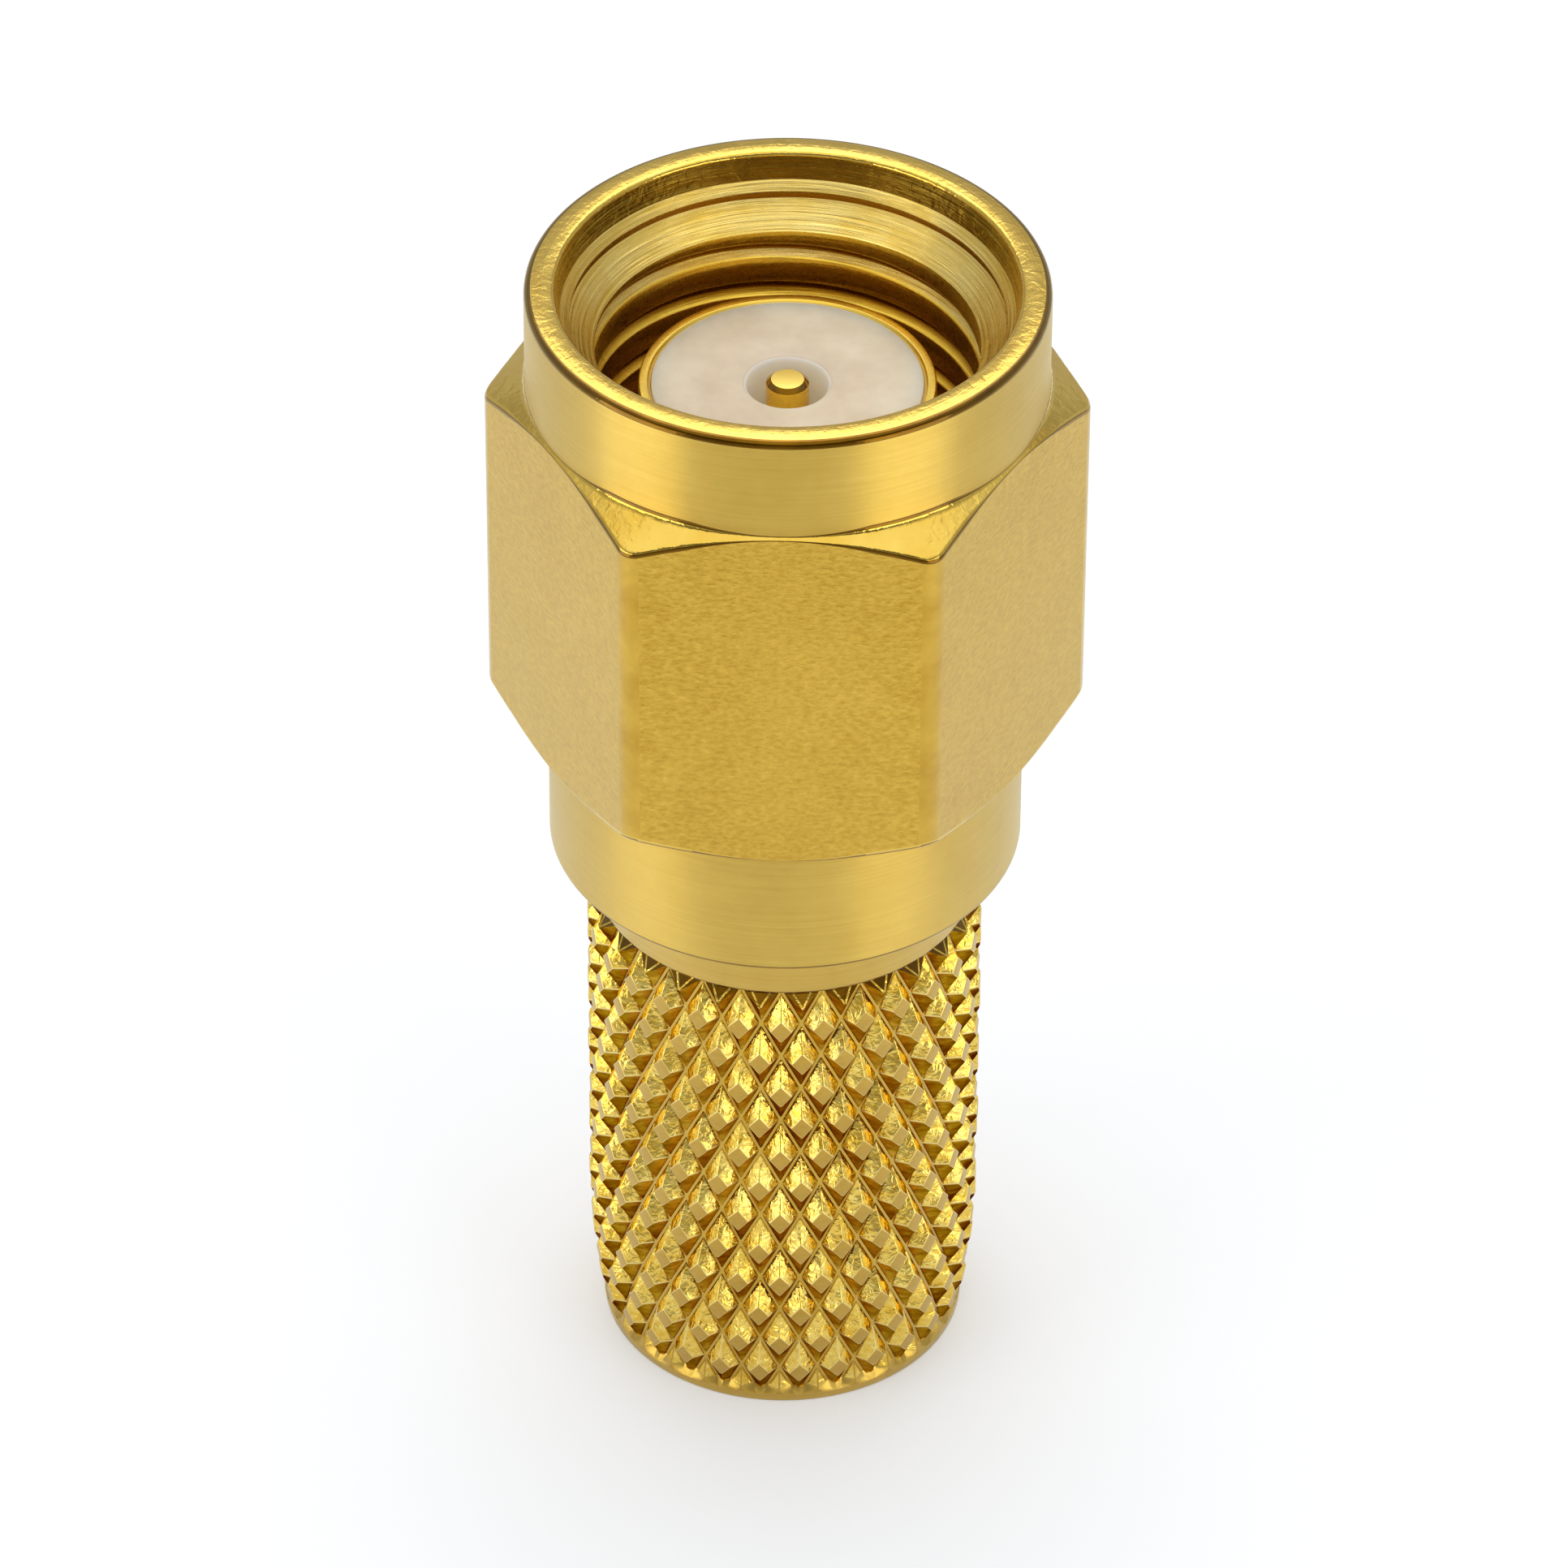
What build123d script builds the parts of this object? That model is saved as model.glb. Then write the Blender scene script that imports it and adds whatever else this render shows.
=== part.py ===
from build123d import *
from math import atan, cos, pi, radians, sin, sqrt, tan
import os

# Coaxial plug: a captive hexagon coupling nut on a body with a knurled cable barrel
# Millimetres, origin at the centre of the foot, Z along the axis towards the mating end

# Outer contact sleeve, whose diameter sets the size of the mating end
contact_diameter = 4.49
contact_length = 2.2
contact_wall = 0.195
contact_edge = 0.04

# Body, with steps and walls given as lengths on the radius
neck_length = 1.04
neck_step = 0.725
neck_edge = 0.06
neck_wall = 0.48
gasket_seat_step = 0.175
gasket_seat_height = 0.6
insulator_step_height = 2.2
insulator_flange_step = 0.25

# Cable barrel and its knurl
barrel_length = 8.5
cable_bore_step = 0.03
cable_bore_depth = 7.0
wire_bore_diameter = 2.2
spigot_length = 1.8
barrel_wall = 0.35
knurl_depth = 0.22
knurl_count = 29
knurl_turn = 2.3
knurl_row_pitch = 0.65
knurl_first_row = 0.68
knurl_land_width = 0.31
knurl_land_height = 0.39
knurl_end_chamfer = 0.22
knurl_bedding = 0.07
foot_margin = 0.15
foot_edge = 0.05
taper_start = 2.4
taper_radius = 11.0
root_follow = 0.6

# Coupling nut: the walls and steps outside its thread add up to 8 mm across the flats
jack_room = 0.655
thread_relief_step = 0.3
ledge_step = 0.4
rim_bore_step = 0.115
rim_bore_draft = 0.075
rim_wall = 0.46
collar_step = 0.05
rear_band_step = 0.345
corner_round = 0.39
nut_turn = -1.26
nut_length = 10.22
collar_length = 1.72
rear_band_length = 2.41
hexagon_chamfer_angle = 30
rim_outer_round = 0.1
rim_inner_edge = 0.05
rim_bore_depth = 0.45
ledge_depth = 0.59
ledge_land = 0.12
lead_in_angle = 45
thread_rear_depth = 3.46
relief_length = 1.4
band_edge = 0.08
bore_edge = 0.12

# Split retaining ring, seated in the body and reaching into the nut
ring_height = 2.6
ring_thickness = 0.5
ring_seat_depth = 0.27
ring_reach = 0.37
ring_gap = 1.2

# Gasket
gasket_margin = 0.02
gasket_thickness = 0.75

# Centre contact and insulators
face_recess = 1.76
dielectric_recess = 0.01
pin_diameter = 0.65
pin_projection = 0.04
pin_chamfer = 0.07
pin_length = 1.7
pin_well_diameter = 1.24
pin_well_depth = 1.0
pin_well_edge = 0.05
shank_diameter = 1.27
shank_collar_diameter = 1.9
shank_collar_thickness = 0.5
rear_insulator_thickness = 1.1
cup_bore_diameter = 0.92
cup_bore_depth = 2.2
cup_tail = 0.4
cup_window_diameter = 0.5
cup_window_height = 1.8

# Clearances
nut_running_clearance = 0.05
ring_clearance = 0.08
ring_seat_clearance = 0.06
press_clearance = 0.01
contact_clearance = 0.01
gasket_clearance = 0.01

# Radii from the outer contact inwards and outwards
contact_radius = contact_diameter / 2
dielectric_radius = contact_radius - contact_wall
flange_radius = dielectric_radius + insulator_flange_step
gasket_seat_radius = contact_radius + gasket_seat_step
thread_minor = contact_radius + jack_room
gasket_radius = thread_minor - gasket_margin
thread_relief = thread_minor + thread_relief_step
ledge_radius = thread_minor + ledge_step
rim_bore_rear_radius = ledge_radius + rim_bore_step
rim_bore_radius = rim_bore_rear_radius + rim_bore_draft
collar_radius = rim_bore_radius + rim_wall
flat_distance = collar_radius + collar_step
rear_band_radius = flat_distance - rear_band_step

# Radii from the neck down to the cable barrel
neck_radius = contact_radius + neck_step
spigot_radius = neck_radius - neck_wall
cable_bore_radius = spigot_radius + cable_bore_step
wire_bore_radius = wire_bore_diameter / 2
knurl_root = cable_bore_radius + barrel_wall
knurl_radius = knurl_root + knurl_depth
ring_inner_radius = neck_radius - ring_seat_depth
ring_outer_radius = neck_radius + ring_reach

# Radii of the centre contact
pin_radius = pin_diameter / 2
pin_well_radius = pin_well_diameter / 2
shank_radius = shank_diameter / 2
shank_collar_radius = shank_collar_diameter / 2

# Heights above the foot
nut_rear = barrel_length + neck_length
nut_front = nut_rear + nut_length
hexagon_rear = nut_rear + rear_band_length
hexagon_front = nut_front - collar_length
contact_face = nut_front - face_recess
seat_top = contact_face - contact_length
shoulder = seat_top - gasket_seat_height
spigot_top = barrel_length + spigot_length
insulator_joint = spigot_top + rear_insulator_thickness
insulator_step = spigot_top + insulator_step_height
ring_floor = nut_rear + ring_height
ring_top = ring_floor + ring_thickness
thread_rear = nut_front - thread_rear_depth
ledge_height = nut_front - ledge_depth
thread_front = ledge_height - ledge_land - (ledge_radius - thread_minor) * tan(radians(lead_in_angle))
relief_rear = thread_rear - relief_length

# Bores made to fit the piece inside them
nut_bore = neck_radius + nut_running_clearance
body_rear_bore = spigot_radius + press_clearance
body_flange_bore = flange_radius + press_clearance
body_front_bore = dielectric_radius + press_clearance
shank_bore = shank_radius + contact_clearance
pin_bore = pin_radius + contact_clearance
shank_collar_bore = shank_collar_radius + contact_clearance
body_groove_root = ring_inner_radius - ring_seat_clearance
body_groove_top = ring_top + ring_seat_clearance
nut_groove_root = ring_outer_radius + ring_clearance
nut_groove_floor = ring_floor - ring_clearance
nut_groove_top = ring_top + ring_clearance

# Centre contact heights
pin_tip = contact_face + pin_projection
pin_foot = pin_tip - pin_length
well_floor = contact_face - dielectric_recess - pin_well_depth
cup_end = cable_bore_depth + cup_tail
shank_collar_top = insulator_joint + shank_collar_thickness


def land_radius(height):
    """Radius of the knurl's lands, which draws in along an arc towards the foot."""
    drop = max(taper_start - height, 0)
    return knurl_radius - drop * drop / (2 * taper_radius)


def land_lean(height):
    """Lean of the knurl's lands from upright, as an angle in radians."""
    return atan(max(taper_start - height, 0) / taper_radius)


def root_radius(height):
    """Radius of the groove crossings, which follow the lands inwards, but less far."""
    return knurl_root - root_follow * (knurl_radius - land_radius(height))


def root_point(turns, height):
    """Crossing of two knurl grooves, this many diamonds round the barrel."""
    angle = 2 * pi * turns / knurl_count
    radius = root_radius(height)
    return Vector(radius * cos(angle), radius * sin(angle), height)


def flat_face(*corners):
    """One flat facet through its corners."""
    return Face(Wire.make_polygon(corners))


def raised_diamond(height):
    """The land and the flanks of the diamond that faces +X in the row at this height."""
    lean = land_lean(height)
    land_centre = Vector(land_radius(height), 0, height)
    upward = Vector(sin(lean), 0, cos(lean)) * knurl_land_height / 2
    sideways = Vector(0, knurl_land_width / 2, 0)
    land = [land_centre + sideways, land_centre + upward, land_centre - sideways, land_centre - upward]
    root = [
        root_point(0.5, height),
        root_point(0, height + knurl_row_pitch),
        root_point(-0.5, height),
        root_point(0, height - knurl_row_pitch),
    ]
    faces = [flat_face(*land)]
    for side in (0, 2):
        for tip in (1, 3):
            faces.append(flat_face(root[side], root[tip], land[tip]))
            faces.append(flat_face(root[side], land[tip], land[side]))
    return faces


def closed_end(height, reach):
    """Triangles that fill up between the last diamonds, and the flat polygon behind them."""
    faces = []
    polygon = []
    for place in range(knurl_count):
        near = root_point(place, height + reach)
        far = root_point(place + 1, height + reach)
        faces.append(flat_face(near, root_point(place + 0.5, height), far))
        polygon.append(near)
    faces.append(flat_face(*polygon))
    return faces


# Coupling nut: hexagon with coned ends, plain collar in front and band behind
hexagon_corner = 2 * flat_distance / sqrt(3)
cone_slope = tan(radians(hexagon_chamfer_angle))
front_cone_drop = (hexagon_corner - collar_radius) * cone_slope
rear_cone_rise = (hexagon_corner - flat_distance) * cone_slope
with BuildPart() as coupling_nut:
    with BuildSketch(Plane.XY.offset(hexagon_rear)):
        RegularPolygon(flat_distance, 6, major_radius=False, rotation=nut_turn)
    extrude(amount=hexagon_front - hexagon_rear)
    fillet(coupling_nut.edges().filter_by(Axis.Z), corner_round)
    with BuildSketch(Plane.XZ):
        with BuildLine():
            Polyline(
                (0, hexagon_rear),
                (flat_distance, hexagon_rear),
                (hexagon_corner, hexagon_rear + rear_cone_rise),
                (hexagon_corner, hexagon_front - front_cone_drop),
                (collar_radius, hexagon_front),
                (0, hexagon_front),
                close=True,
            )
        make_face()
    revolve(axis=Axis.Z, mode=Mode.INTERSECT)
    with BuildSketch(Plane.XY.offset(nut_rear)):
        Circle(rear_band_radius)
    extrude(amount=rear_band_length)
    with BuildSketch(Plane.XY.offset(hexagon_front)):
        Circle(collar_radius)
    extrude(amount=collar_length)
    fillet(coupling_nut.edges().group_by(Axis.Z)[-1], rim_outer_round)
    chamfer(coupling_nut.edges().group_by(Axis.Z)[0], band_edge)
    with BuildSketch(Plane.XZ):
        with BuildLine():
            Polyline(
                (0, nut_rear),
                (nut_bore + bore_edge, nut_rear),
                (nut_bore, nut_rear + bore_edge),
                (nut_bore, nut_groove_floor),
                (nut_groove_root, nut_groove_floor),
                (nut_groove_root, nut_groove_top),
                (nut_bore, nut_groove_top),
                (nut_bore, relief_rear),
                (thread_relief, relief_rear),
                (thread_relief, thread_rear - (thread_relief - thread_minor)),
                (thread_minor, thread_rear),
                (thread_minor, thread_front),
                (ledge_radius, ledge_height - ledge_land),
                (ledge_radius, ledge_height),
                (rim_bore_rear_radius, nut_front - rim_bore_depth),
                (rim_bore_radius, nut_front - rim_inner_edge),
                (rim_bore_radius + rim_inner_edge, nut_front),
                (0, nut_front),
                close=True,
            )
        make_face()
    revolve(axis=Axis.Z, mode=Mode.SUBTRACT)
coupling_nut.part.label = "coupling_nut"

# Split ring that holds the nut on the body and lets it turn
with BuildPart() as retaining_ring:
    with BuildSketch(Plane.XY.offset(ring_floor)):
        Circle(ring_outer_radius)
        Circle(ring_inner_radius, mode=Mode.SUBTRACT)
        with Locations((0, ring_outer_radius)):
            Rectangle(ring_gap, 2 * ring_outer_radius, mode=Mode.SUBTRACT)
    extrude(amount=ring_thickness)
retaining_ring.part.label = "retaining_ring"

# Rubber gasket round the foot of the outer contact
with BuildPart() as gasket:
    with BuildSketch(Plane.XY.offset(shoulder)):
        Circle(gasket_radius)
        Circle(gasket_seat_radius + gasket_clearance, mode=Mode.SUBTRACT)
    extrude(amount=gasket_thickness)
gasket.part.label = "gasket"

# Body: neck, ring groove, gasket seat and the thin outer contact sleeve in front
with BuildPart() as body:
    with BuildSketch(Plane.XZ):
        with BuildLine():
            Polyline(
                (body_rear_bore, barrel_length),
                (neck_radius - neck_edge, barrel_length),
                (neck_radius, barrel_length + neck_edge),
                (neck_radius, ring_floor),
                (body_groove_root, ring_floor),
                (body_groove_root, body_groove_top),
                (neck_radius, body_groove_top),
                (neck_radius, shoulder),
                (gasket_seat_radius, shoulder),
                (gasket_seat_radius, seat_top),
                (contact_radius, seat_top),
                (contact_radius, contact_face - contact_edge),
                (contact_radius - contact_edge, contact_face),
                (body_front_bore + contact_edge, contact_face),
                (body_front_bore, contact_face - contact_edge),
                (body_front_bore, insulator_step),
                (body_flange_bore, insulator_step),
                (body_flange_bore, spigot_top),
                (body_rear_bore, spigot_top),
                close=True,
            )
        make_face()
    revolve(axis=Axis.Z)
body.part.label = "body"

# Insulator behind the mating face, with a well round the pin
with BuildPart() as front_insulator:
    with BuildSketch(Plane.XZ):
        with BuildLine():
            Polyline(
                (shank_collar_bore, insulator_joint),
                (flange_radius, insulator_joint),
                (flange_radius, insulator_step),
                (dielectric_radius, insulator_step),
                (dielectric_radius, contact_face - dielectric_recess),
                (pin_well_radius, contact_face - dielectric_recess),
                (pin_well_radius, well_floor),
                (pin_bore, well_floor),
                (pin_bore, pin_foot),
                (shank_bore, pin_foot),
                (shank_bore, shank_collar_top),
                (shank_collar_bore, shank_collar_top),
                close=True,
            )
        make_face()
    revolve(axis=Axis.Z)
    well_mouth = front_insulator.edges().group_by(Axis.Z)[-1].sort_by(SortBy.RADIUS)[0]
    fillet(well_mouth, pin_well_edge)
front_insulator.part.label = "front_insulator"

# Insulating washer that traps the centre contact from behind
with BuildPart() as rear_insulator:
    with BuildSketch(Plane.XY.offset(spigot_top)):
        Circle(flange_radius)
        Circle(shank_bore, mode=Mode.SUBTRACT)
    extrude(amount=rear_insulator_thickness)
rear_insulator.part.label = "rear_insulator"

# Centre contact: pin, shank with a collar, and a solder cup for the cable's wire
with BuildPart() as centre_contact:
    with BuildSketch(Plane.XZ):
        with BuildLine():
            Polyline(
                (0, cup_end),
                (shank_radius, cup_end),
                (shank_radius, insulator_joint),
                (shank_collar_radius, insulator_joint),
                (shank_collar_radius, shank_collar_top),
                (shank_radius, shank_collar_top),
                (shank_radius, pin_foot),
                (pin_radius, pin_foot),
                (pin_radius, pin_tip - pin_chamfer),
                (pin_radius - pin_chamfer, pin_tip),
                (0, pin_tip),
                close=True,
            )
        make_face()
    revolve(axis=Axis.Z)
    with BuildSketch(Plane.XY.offset(cup_end)):
        Circle(cup_bore_diameter / 2)
    extrude(amount=cup_bore_depth, mode=Mode.SUBTRACT)
    with BuildSketch(Plane.XZ):
        with Locations((0, cup_end + cup_window_height)):
            Circle(cup_window_diameter / 2)
    extrude(amount=shank_diameter, mode=Mode.SUBTRACT)
centre_contact.part.label = "centre_contact"

# Knurl: rows of raised diamonds sewn into one closed skin, every other row half a diamond round
knurl_rows = int((barrel_length - knurl_first_row) / knurl_row_pitch) + 1
last_row = knurl_first_row + (knurl_rows - 1) * knurl_row_pitch
half_diamond = 180 / knurl_count
knurl_faces = []
for row in range(knurl_rows):
    diamond = raised_diamond(knurl_first_row + row * knurl_row_pitch)
    for place in range(knurl_count):
        turn = Rot(0, 0, knurl_turn + half_diamond * (2 * place + row % 2))
        knurl_faces += [turn * face for face in diamond]
foot_turn = Rot(0, 0, knurl_turn)
head_turn = Rot(0, 0, knurl_turn + half_diamond * ((knurl_rows - 1) % 2))
knurl_faces += [foot_turn * face for face in closed_end(knurl_first_row, -knurl_row_pitch)]
knurl_faces += [head_turn * face for face in closed_end(last_row, knurl_row_pitch)]
knurl_skin = Solid(Shell(knurl_faces))

# Ring that keeps the knurl between its plain foot margin and its chamfered front end
foot_radius = land_radius(foot_margin)
core_radius = root_radius(0) - knurl_bedding
knurl_bore = (cable_bore_radius + core_radius) / 2
with BuildPart() as knurl_limit:
    with BuildSketch(Plane.XZ):
        with BuildLine():
            Polyline(
                (knurl_bore, foot_margin),
                (knurl_radius + knurl_depth, foot_margin),
                (knurl_radius + knurl_depth, barrel_length - knurl_end_chamfer),
                (knurl_radius, barrel_length - knurl_end_chamfer),
                (knurl_root, barrel_length),
                (knurl_bore, barrel_length),
                close=True,
            )
        make_face()
    revolve(axis=Axis.Z)

# Cable barrel: a stepped tube with a spigot for the body, under its knurl
with BuildPart() as crimp_barrel:
    add(knurl_skin)
    add(knurl_limit.part, mode=Mode.INTERSECT)
    with BuildSketch(Plane.XZ):
        with BuildLine():
            Polyline(
                (cable_bore_radius, 0),
                (foot_radius - foot_edge, 0),
                (foot_radius, foot_edge),
                (foot_radius, foot_margin),
                (core_radius, foot_margin + foot_radius - core_radius),
                (core_radius, barrel_length),
                (spigot_radius, barrel_length),
                (spigot_radius, spigot_top),
                (wire_bore_radius, spigot_top),
                (wire_bore_radius, cable_bore_depth),
                (cable_bore_radius, cable_bore_depth),
                close=True,
            )
        make_face()
    revolve(axis=Axis.Z)
crimp_barrel.part.label = "crimp_barrel"

# Files
os.makedirs("parts", exist_ok=True)
export_step(coupling_nut.part, "parts/coupling_nut.step")
export_step(retaining_ring.part, "parts/retaining_ring.step")
export_step(gasket.part, "parts/gasket.step")
export_step(body.part, "parts/body.step")
export_step(front_insulator.part, "parts/front_insulator.step")
export_step(rear_insulator.part, "parts/rear_insulator.step")
export_step(centre_contact.part, "parts/centre_contact.step")
export_step(crimp_barrel.part, "parts/crimp_barrel.step")
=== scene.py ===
import math
import random

import bmesh
import bpy
from mathutils import Matrix, Vector


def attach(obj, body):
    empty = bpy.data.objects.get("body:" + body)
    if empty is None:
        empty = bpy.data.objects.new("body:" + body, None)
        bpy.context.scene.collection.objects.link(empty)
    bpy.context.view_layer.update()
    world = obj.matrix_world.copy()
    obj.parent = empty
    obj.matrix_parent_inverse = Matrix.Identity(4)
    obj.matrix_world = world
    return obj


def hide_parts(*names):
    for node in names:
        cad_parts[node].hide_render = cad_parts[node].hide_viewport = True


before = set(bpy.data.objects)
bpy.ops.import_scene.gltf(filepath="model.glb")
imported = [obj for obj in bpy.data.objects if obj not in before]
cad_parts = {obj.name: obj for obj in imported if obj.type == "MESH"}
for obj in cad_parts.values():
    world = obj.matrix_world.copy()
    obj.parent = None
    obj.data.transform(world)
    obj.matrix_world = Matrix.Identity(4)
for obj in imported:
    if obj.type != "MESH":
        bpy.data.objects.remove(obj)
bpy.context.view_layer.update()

# Lengths below are in millimetres and turned into metres when they are used
MM = 0.001

# Heights above the foot
NUT_REAR = 9.54
HEXAGON_REAR = 11.95
HEXAGON_FRONT = 18.04
NUT_FRONT = 19.76
CONTACT_FACE = 18.0
SEAT_TOP = 15.8
GASKET_SEAT = 15.2
SPIGOT_TOP = 10.3
BARREL_TOP = 8.5
CABLE_BORE_TOP = 7.0
INSULATOR_JOINT = 11.4
INSULATOR_STEP = 12.5
PIN_TIP = 18.04
PIN_FOOT = 16.34

# Coupling nut
ACROSS_FLATS = 8.0
CORNER_ROUND = 0.39
CORNER_RADIUS = 4.558
NUT_TURN = -1.26
COLLAR_RADIUS = 3.95
REAR_BAND_RADIUS = 3.655
CONE_ANGLE = 30
COLLAR_FOOT_ROUND = 0.15
HEXAGON_EDGE_ROUND = 0.13
NUT_BORE = 3.02
RIM_BORE = 3.49
RIM_BORE_REAR = 3.415
LEDGE_RADIUS = 3.3
NUT_RELIEF = 3.42
NUT_RELIEF_REAR = 12.06
NUT_RELIEF_FRONT = 12.72

# Body and its outer contact sleeve
BODY_RADIUS = 2.97
BODY_BORE = 2.31
SPIGOT_HOLE = 2.5
RING_GROOVE_RADIUS = 2.64
RING_GROOVE_REAR = 12.14
RING_GROOVE_FRONT = 12.7
SEAT_RADIUS = 2.42
SLEEVE_RADIUS = 2.245
SLEEVE_BORE = 2.06

# Barrel's inside
SPIGOT_RADIUS = 2.49
CABLE_BORE = 2.52
CONTACT_HOLE = 1.1

# Front insulator
INSULATOR_RADIUS = 2.3
INSULATOR_FRONT_RADIUS = 2.05
WELL_RADIUS = 0.6
WELL_FLOOR = 16.99
PIN_HOLE = 0.335
BARREL_HOLE = 0.645
COLLAR_HOLE = 0.96
COLLAR_TOP = 11.9

# Centre contact
PIN_RADIUS = 0.325
CONTACT_RADIUS = 0.635
CONTACT_COLLAR = 0.95
CONTACT_REAR = 7.4
SOLDER_CUP_RADIUS = 0.46
SOLDER_CUP_TOP = 9.6
SOLDER_WINDOW_RADIUS = 0.25
SOLDER_WINDOW_HEIGHT = 9.2

# Gasket
GASKET_BORE = 2.43
GASKET_RADIUS = 2.88
GASKET_HEIGHT = 0.75

# Coupling thread, cut into a blank bore that is narrower than its crests
THREAD_PITCH = 0.7056
THREAD_CREST = 2.9
THREAD_ROOT = 3.04
THREAD_BLANK = 2.75
THREAD_FRONT = 18.56
THREAD_REAR = 16.5
THREAD_RELIEF = 3.2
THREAD_RELIEF_FRONT = 16.05
THREAD_RELIEF_REAR = 14.9
THREAD_START = 14.98
THREAD_TURNS = 8
THREAD_CREST_HALF = 0.225
THREAD_FLANK = 0.075

# Knurl
KNURL_RADIUS = 3.09
KNURL_ROOT = 2.87
KNURL_COUNT = 29
KNURL_TURN = 2.3
KNURL_BEVEL = 0.017
KNURL_ROWS = range(-1, 14)
ROW_PITCH = 0.65
FIRST_ROW = 0.68
LAND_WIDTH = 0.31
LAND_HEIGHT = 0.39
GROOVE_FLOOR = 0.022
FOOT_MARGIN = 0.15
FOOT_EDGE = 0.05
TAPER_START = 2.4
TAPER_RADIUS = 11.0
ROOT_FOLLOW = 0.6

# Turning steps: all round, in each sixth, and in the few degrees at each corner of the hexagon
TURN_STEPS = 288
SECTOR_STEPS = 48
CORNER_STEPS = 12
CORNER_SPREAD = math.radians(5.6)
SECTOR = math.pi / 3
SMOOTH_ANGLE = math.radians(33)


# Mesh helpers
def mesh_piece(name, points, edges, faces):
    mesh = bpy.data.meshes.new(name)
    mesh.from_pydata(points, edges, faces)
    piece = bpy.data.objects.new(name, mesh)
    bpy.context.collection.objects.link(piece)
    return piece


def pick(piece):
    for other in bpy.context.selected_objects:
        other.select_set(False)
    piece.select_set(True)
    bpy.context.view_layer.objects.active = piece


def open_for_editing(piece):
    pick(piece)
    bpy.ops.object.mode_set(mode="EDIT")


def close_editing():
    bpy.ops.object.mode_set(mode="OBJECT")


def select_where(piece, kind, test):
    """In edit mode, selects the edges or faces of a piece that pass a test."""
    bpy.ops.mesh.select_mode(type=kind)
    bpy.ops.mesh.select_all(action="DESELECT")
    shape = bmesh.from_edit_mesh(piece.data)
    for part in shape.edges if kind == "EDGE" else shape.faces:
        part.select_set(test(part))
    bmesh.update_edit_mesh(piece.data)


def move_selected(piece, new_place):
    """In edit mode, moves each selected point of a piece to new_place of where it is."""
    shape = bmesh.from_edit_mesh(piece.data)
    for vertex in shape.verts:
        if vertex.select:
            vertex.co = new_place(vertex.co)
    bmesh.update_edit_mesh(piece.data)


def merge_and_turn_outwards(threshold):
    """In edit mode, merges doubled points within a threshold in mm and turns normals outwards."""
    bpy.ops.mesh.select_all(action="SELECT")
    bpy.ops.mesh.remove_doubles(threshold=threshold * MM)
    bpy.ops.mesh.normals_make_consistent(inside=False)


def round_axis(radius, azimuth, height):
    """Place in metres at this radius and height in mm and this azimuth in radians."""
    return Vector((radius * math.cos(azimuth), radius * math.sin(azimuth), height)) * MM


def corner_arc(before, corner, after, rounding, segments):
    """Points of an arc that rounds one corner of an outline."""
    corner = Vector(corner)
    to_before = Vector(before) - corner
    to_after = Vector(after) - corner
    half_angle = to_before.angle(to_after) / 2
    reach = rounding / math.tan(half_angle)
    longest = 0.49 * min(to_before.length, to_after.length)
    if reach > longest:
        rounding *= longest / reach
        reach = longest
    start = corner + to_before.normalized() * reach
    end = corner + to_after.normalized() * reach
    middle = (to_before.normalized() + to_after.normalized()).normalized()
    centre = corner + middle * (rounding / math.sin(half_angle))
    sweep = math.pi - 2 * half_angle
    points = []
    for step in range(segments + 1):
        share = step / segments
        weight_start = math.sin((1 - share) * sweep) / math.sin(sweep)
        weight_end = math.sin(share * sweep) / math.sin(sweep)
        points.append(centre + (start - centre) * weight_start + (end - centre) * weight_end)
    return [(point.x, point.y) for point in points]


def softened(outline, closed=True):
    """An outline of (radius, height, rounding) corners with each corner turned into an arc."""
    points = []
    count = len(outline)
    for place, (radius, height, rounding) in enumerate(outline):
        at_end = not closed and place in (0, count - 1)
        if rounding == 0 or at_end:
            points.append((radius, height))
            continue
        before = outline[place - 1][:2]
        after = outline[(place + 1) % count][:2]
        segments = 3 if rounding < 0.04 else 5
        points += corner_arc(before, (radius, height), after, rounding, segments)
    return points


def turned_piece(name, points, closed=True, steps=TURN_STEPS):
    """A piece turned from an outline of (radius, height) points round the plug's axis."""
    edges = [(place, place + 1) for place in range(len(points) - 1)]
    if closed:
        edges.append((len(points) - 1, 0))
    profile = [(radius * MM, 0, height * MM) for radius, height in points]
    piece = mesh_piece(name, profile, edges, [])
    open_for_editing(piece)
    bpy.ops.mesh.select_all(action="SELECT")
    bpy.ops.mesh.spin(steps=steps, angle=2 * math.pi, center=(0, 0, 0), axis=(0, 0, 1))
    merge_and_turn_outwards(0.0002)
    close_editing()
    return piece


def smooth(piece):
    pick(piece)
    bpy.ops.object.shade_smooth_by_angle(angle=SMOOTH_ANGLE)


def cut_away(piece, cutter):
    """Takes the cutter's space out of a piece and deletes the cutter."""
    pick(piece)
    cut = piece.modifiers.new("cut", "BOOLEAN")
    cut.operation = "DIFFERENCE"
    cut.solver = "EXACT"
    cut.object = cutter
    bpy.ops.object.modifier_apply(modifier=cut.name)
    bpy.data.objects.remove(cutter)


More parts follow.
